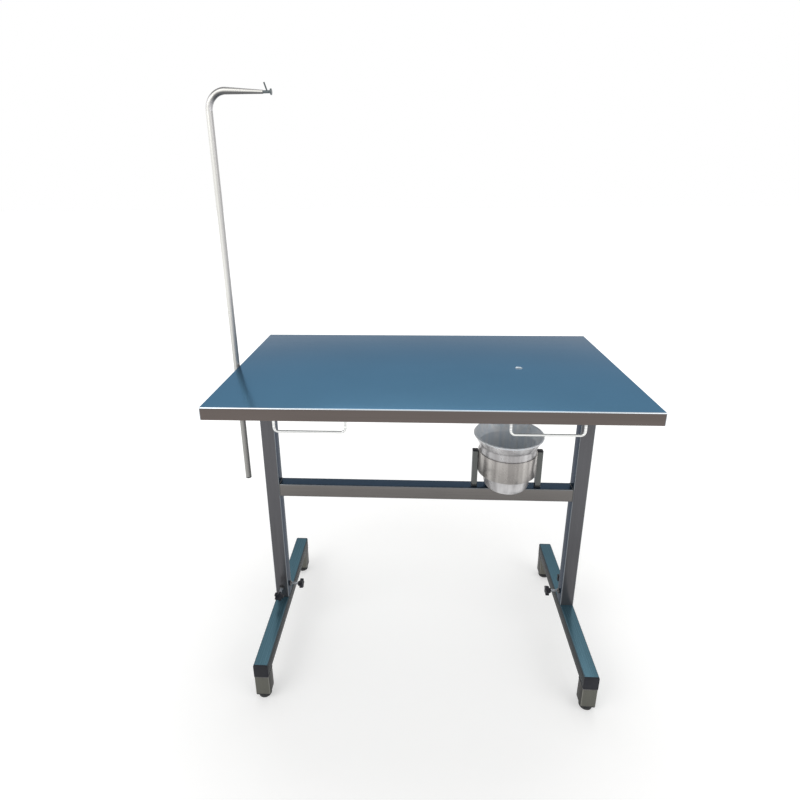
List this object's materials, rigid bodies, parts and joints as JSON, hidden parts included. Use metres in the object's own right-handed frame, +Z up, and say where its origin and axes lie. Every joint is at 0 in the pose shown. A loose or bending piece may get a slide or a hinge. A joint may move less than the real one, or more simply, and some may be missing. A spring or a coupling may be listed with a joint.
{
  "type": "veterinary surgery table",
  "caption": "Stainless steel veterinary surgery table with a folded top and drain, sliding T legs, a turning drip pole, rope rails and a lift-out bucket on the crossbar.",
  "frame": {"origin": "on the floor, under the middle of the table's whole box", "axes": "+Z up, +X towards the bucket end, +Y away from the side that the picture shows"},
  "size_m": [1.0664, 0.6, 1.5587],
  "materials": {
    "stainless_sheet": "satin stainless sheet",
    "stainless_tube": "satin stainless tube",
    "polished_steel": "polished stainless steel",
    "zinc_plated_steel": "zinc plated",
    "black_plastic": "moulded black plastic",
    "white_nylon": "natural nylon"
  },
  "bodies": {
    "frame": {"tabletop": "stainless_sheet", "drain_spout": "polished_steel", "bearer_left": "stainless_tube", "bearer_right": "stainless_tube", "stiffener_front": "stainless_tube", "stiffener_back": "stainless_tube", "leg_left": "stainless_tube", "leg_right": "stainless_tube", "crossbar": "stainless_tube", "tie_rail_front_left": "polished_steel", "tie_rail_front_right": "polished_steel", "tie_rail_back_left": "polished_steel", "tie_rail_back_right": "polished_steel", "pole_sleeve": "stainless_tube", "bucket_upright_left": "stainless_tube", "bucket_upright_right": "stainless_tube", "upright_cap_left": "black_plastic", "upright_cap_right": "black_plastic", "bucket_hoop": "polished_steel"},
    "left_foot": {"foot_bar_left": "stainless_tube", "post_left": "stainless_tube", "foot_plug_left_front": "black_plastic", "foot_plug_left_back": "black_plastic", "foot_block_left_front": "stainless_tube", "foot_block_left_back": "stainless_tube", "foot_insert_left_front": "black_plastic", "foot_insert_left_back": "black_plastic"},
    "right_foot": {"foot_bar_right": "stainless_tube", "post_right": "stainless_tube", "foot_plug_right_front": "black_plastic", "foot_plug_right_back": "black_plastic", "foot_block_right_front": "stainless_tube", "foot_block_right_back": "stainless_tube", "foot_insert_right_front": "black_plastic", "foot_insert_right_back": "black_plastic"},
    "leveller_left_front": {"leveller_pad_left_front": "black_plastic", "leveller_stem_left_front": "zinc_plated_steel"},
    "leveller_left_back": {"leveller_pad_left_back": "black_plastic", "leveller_stem_left_back": "zinc_plated_steel"},
    "leveller_right_front": {"leveller_pad_right_front": "black_plastic", "leveller_stem_right_front": "zinc_plated_steel"},
    "leveller_right_back": {"leveller_pad_right_back": "black_plastic", "leveller_stem_right_back": "zinc_plated_steel"},
    "hand_screw_left_inner": {"leg_screw_left_inner": "zinc_plated_steel", "leg_knob_left_inner": "black_plastic"},
    "hand_screw_left_front": {"leg_screw_left_front": "zinc_plated_steel", "leg_knob_left_front": "black_plastic"},
    "hand_screw_right_inner": {"leg_screw_right_inner": "zinc_plated_steel", "leg_knob_right_inner": "black_plastic"},
    "hand_screw_right_back": {"leg_screw_right_back": "zinc_plated_steel", "leg_knob_right_back": "black_plastic"},
    "pole_clamp": {"pole_screw": "zinc_plated_steel", "pole_knob": "black_plastic"},
    "pole_bushes": {"pole_bush_top": "white_nylon", "pole_bush_bottom": "white_nylon"},
    "drip_pole": {"pole": "polished_steel", "pole_end_plug": "black_plastic", "pole_hook": "polished_steel"},
    "pail": {"bucket": "polished_steel"}
  },
  "joints": [
    {"name": "left_leg_height", "type": "slide", "parent": "frame", "child": "left_foot", "axis": [0, 0, -1], "range_m": [0, 0.15]},
    {"name": "right_leg_height", "type": "slide", "parent": "frame", "child": "right_foot", "axis": [0, 0, -1], "range_m": [0, 0.15]},
    {"name": "leveller_left_front_turn", "type": "hinge", "parent": "left_foot", "child": "leveller_left_front", "pos_m": [-0.40475, -0.255, 0], "axis": [0, 0, 1], "continuous": true},
    {"name": "leveller_left_back_turn", "type": "hinge", "parent": "left_foot", "child": "leveller_left_back", "pos_m": [-0.40475, 0.255, 0], "axis": [0, 0, 1], "continuous": true},
    {"name": "leveller_right_front_turn", "type": "hinge", "parent": "right_foot", "child": "leveller_right_front", "pos_m": [0.47125, -0.255, 0], "axis": [0, 0, 1], "continuous": true},
    {"name": "leveller_right_back_turn", "type": "hinge", "parent": "right_foot", "child": "leveller_right_back", "pos_m": [0.47125, 0.255, 0], "axis": [0, 0, 1], "continuous": true},
    {"name": "hand_screw_left_inner_turn", "type": "hinge", "parent": "frame", "child": "hand_screw_left_inner", "pos_m": [-0.38475, 0, 0.153], "axis": [1, 0, 0], "continuous": true},
    {"name": "hand_screw_left_front_turn", "type": "hinge", "parent": "frame", "child": "hand_screw_left_front", "pos_m": [-0.40475, -0.02, 0.153], "axis": [0, -1, 0], "continuous": true},
    {"name": "hand_screw_right_inner_turn", "type": "hinge", "parent": "frame", "child": "hand_screw_right_inner", "pos_m": [0.45125, 0, 0.153], "axis": [-1, 0, 0], "continuous": true},
    {"name": "hand_screw_right_back_turn", "type": "hinge", "parent": "frame", "child": "hand_screw_right_back", "pos_m": [0.47125, 0.02, 0.153], "axis": [0, 1, 0], "continuous": true},
    {"name": "pole_clamp_turn", "type": "hinge", "parent": "frame", "child": "pole_clamp", "pos_m": [-0.47865, 0, 0.77], "axis": [-1, 0, 0], "continuous": true},
    {"name": "pole_turn", "type": "hinge", "parent": "frame", "child": "pole_bushes", "pos_m": [-0.47865, 0, 0.848], "axis": [0, 0, 1], "continuous": true},
    {"name": "pole_height", "type": "slide", "parent": "pole_bushes", "child": "drip_pole", "axis": [0, 0, 1], "range_m": [-0.4, 0.2]},
    {"name": "bucket_lift", "type": "slide", "parent": "frame", "child": "pail", "axis": [0, 0, 1], "range_m": [0, 0.085]}
  ],
  "couplings": [
    {"joint": "right_leg_height", "follows": "left_leg_height", "ratio": 1}
  ]
}
